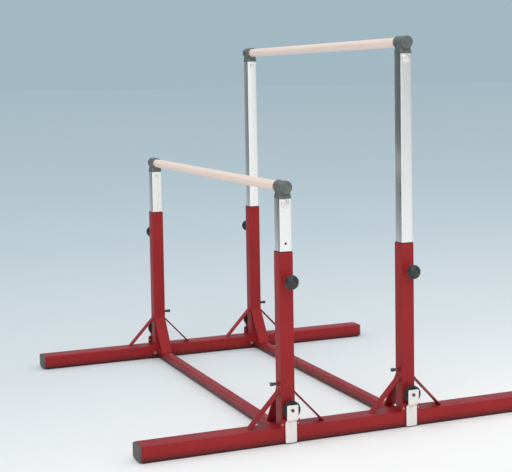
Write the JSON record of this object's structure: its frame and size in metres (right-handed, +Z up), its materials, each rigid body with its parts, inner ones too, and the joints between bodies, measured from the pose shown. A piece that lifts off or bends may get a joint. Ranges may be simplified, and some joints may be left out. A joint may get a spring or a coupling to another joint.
{
  "type": "height-adjustable parallel bars",
  "caption": "Children's parallel and uneven bars: wooden rails on telescopic uprights that stand on long feet, with index plungers and swing-down transport wheels.",
  "frame": {"origin": "on the floor, in the middle between the two feet and the two rails", "axes": "+X along the feet from the low rail to the high rail, +Y along the rails from front to back, +Z up"},
  "size_m": [1.837, 1.902, 1.6516],
  "materials": {
    "red_paint": "dark red powder coat, satin",
    "aluminium_tube": "drawn and anodised, satin",
    "beech": "pale laminated beech, matt varnish",
    "head_casting": "casting with a dark grey-green coat, satin",
    "black_plastic": "moulded, fine grain",
    "strip_rubber": "matt, ribbed",
    "wheel_rubber": "solid tyre, matt",
    "zinc_plate": "zinc plated, bright satin",
    "dark_steel": "blackened, satin"
  },
  "bodies": {
    "frame": {"foot_front": "red_paint", "foot_back": "red_paint", "spreader_low": "red_paint", "spreader_high": "red_paint", "grip_strip_front": "strip_rubber", "end_cap_front_left": "black_plastic", "end_cap_front_right": "black_plastic", "grip_strip_back": "strip_rubber", "end_cap_back_left": "black_plastic", "end_cap_back_right": "black_plastic", "socket_low_front": "red_paint", "upright_low_front": "red_paint", "guide_sleeve_low_front": "black_plastic", "clamp_screw_low_front": "dark_steel", "pivot_bolt_low_front": "zinc_plate", "socket_low_back": "red_paint", "upright_low_back": "red_paint", "guide_sleeve_low_back": "black_plastic", "clamp_screw_low_back": "dark_steel", "pivot_bolt_low_back": "zinc_plate", "socket_high_front": "red_paint", "upright_high_front": "red_paint", "guide_sleeve_high_front": "black_plastic", "clamp_screw_high_front": "dark_steel", "pivot_bolt_high_front": "zinc_plate", "socket_high_back": "red_paint", "upright_high_back": "red_paint", "guide_sleeve_high_back": "black_plastic", "clamp_screw_high_back": "dark_steel", "pivot_bolt_high_back": "zinc_plate"},
    "low_rail_set": {"low_rail": "beech", "inner_tube_low_front": "aluminium_tube", "rail_head_low_front": "head_casting", "head_bolt_low_front": "zinc_plate", "inner_tube_low_back": "aluminium_tube", "rail_head_low_back": "head_casting", "head_bolt_low_back": "zinc_plate"},
    "high_rail_set": {"high_rail": "beech", "inner_tube_high_front": "aluminium_tube", "rail_head_high_front": "head_casting", "head_bolt_high_front": "zinc_plate", "inner_tube_high_back": "aluminium_tube", "rail_head_high_back": "head_casting", "head_bolt_high_back": "zinc_plate"},
    "plunger_set_low_front": {"plunger_low_front": "black_plastic"},
    "plunger_set_low_back": {"plunger_low_back": "black_plastic"},
    "plunger_set_high_front": {"plunger_high_front": "black_plastic"},
    "plunger_set_high_back": {"plunger_high_back": "black_plastic"},
    "lever_set_low_front": {"wheel_lever_low_front": "zinc_plate", "wheel_axle_low_front": "dark_steel"},
    "wheel_set_low_front": {"wheel_low_front": "wheel_rubber"},
    "lever_set_low_back": {"wheel_lever_low_back": "zinc_plate", "wheel_axle_low_back": "dark_steel"},
    "wheel_set_low_back": {"wheel_low_back": "wheel_rubber"},
    "lever_set_high_front": {"wheel_lever_high_front": "zinc_plate", "wheel_axle_high_front": "dark_steel"},
    "wheel_set_high_front": {"wheel_high_front": "wheel_rubber"},
    "lever_set_high_back": {"wheel_lever_high_back": "zinc_plate", "wheel_axle_high_back": "dark_steel"},
    "wheel_set_high_back": {"wheel_high_back": "wheel_rubber"}
  },
  "joints": [
    {"name": "low_rail_height", "type": "slide", "parent": "frame", "child": "low_rail_set", "axis": [0, 0, 1], "range_m": [-0.15, 0.15]},
    {"name": "high_rail_height", "type": "slide", "parent": "frame", "child": "high_rail_set", "axis": [0, 0, 1], "range_m": [-0.1, 0.15]},
    {"name": "plunger_pull_low_front", "type": "slide", "parent": "frame", "child": "plunger_set_low_front", "axis": [0, 1, 0], "range_m": [0, 0.009]},
    {"name": "plunger_pull_low_back", "type": "slide", "parent": "frame", "child": "plunger_set_low_back", "axis": [0, -1, 0], "range_m": [0, 0.009]},
    {"name": "plunger_pull_high_front", "type": "slide", "parent": "frame", "child": "plunger_set_high_front", "axis": [0, 1, 0], "range_m": [0, 0.009]},
    {"name": "plunger_pull_high_back", "type": "slide", "parent": "frame", "child": "plunger_set_high_back", "axis": [0, -1, 0], "range_m": [0, 0.009]},
    {"name": "lever_turn_low_front", "type": "hinge", "parent": "frame", "child": "lever_set_low_front", "pos_m": [-0.279, -0.9078, 0.083], "axis": [0, 1, 0], "range_deg": [0, 180]},
    {"name": "wheel_spin_low_front", "type": "hinge", "parent": "lever_set_low_front", "child": "wheel_set_low_front", "pos_m": [-0.279, -0.9111, 0.143], "axis": [0, 1, 0], "continuous": true},
    {"name": "lever_turn_low_back", "type": "hinge", "parent": "frame", "child": "lever_set_low_back", "pos_m": [-0.279, 0.9078, 0.083], "axis": [0, 1, 0], "range_deg": [-180, 0]},
    {"name": "wheel_spin_low_back", "type": "hinge", "parent": "lever_set_low_back", "child": "wheel_set_low_back", "pos_m": [-0.279, 0.9111, 0.143], "axis": [0, 1, 0], "continuous": true},
    {"name": "lever_turn_high_front", "type": "hinge", "parent": "frame", "child": "lever_set_high_front", "pos_m": [0.279, -0.9078, 0.083], "axis": [0, 1, 0], "range_deg": [0, 180]},
    {"name": "wheel_spin_high_front", "type": "hinge", "parent": "lever_set_high_front", "child": "wheel_set_high_front", "pos_m": [0.279, -0.9111, 0.143], "axis": [0, 1, 0], "continuous": true},
    {"name": "lever_turn_high_back", "type": "hinge", "parent": "frame", "child": "lever_set_high_back", "pos_m": [0.279, 0.9078, 0.083], "axis": [0, 1, 0], "range_deg": [-180, 0]},
    {"name": "wheel_spin_high_back", "type": "hinge", "parent": "lever_set_high_back", "child": "wheel_set_high_back", "pos_m": [0.279, 0.9111, 0.143], "axis": [0, 1, 0], "continuous": true}
  ]
}
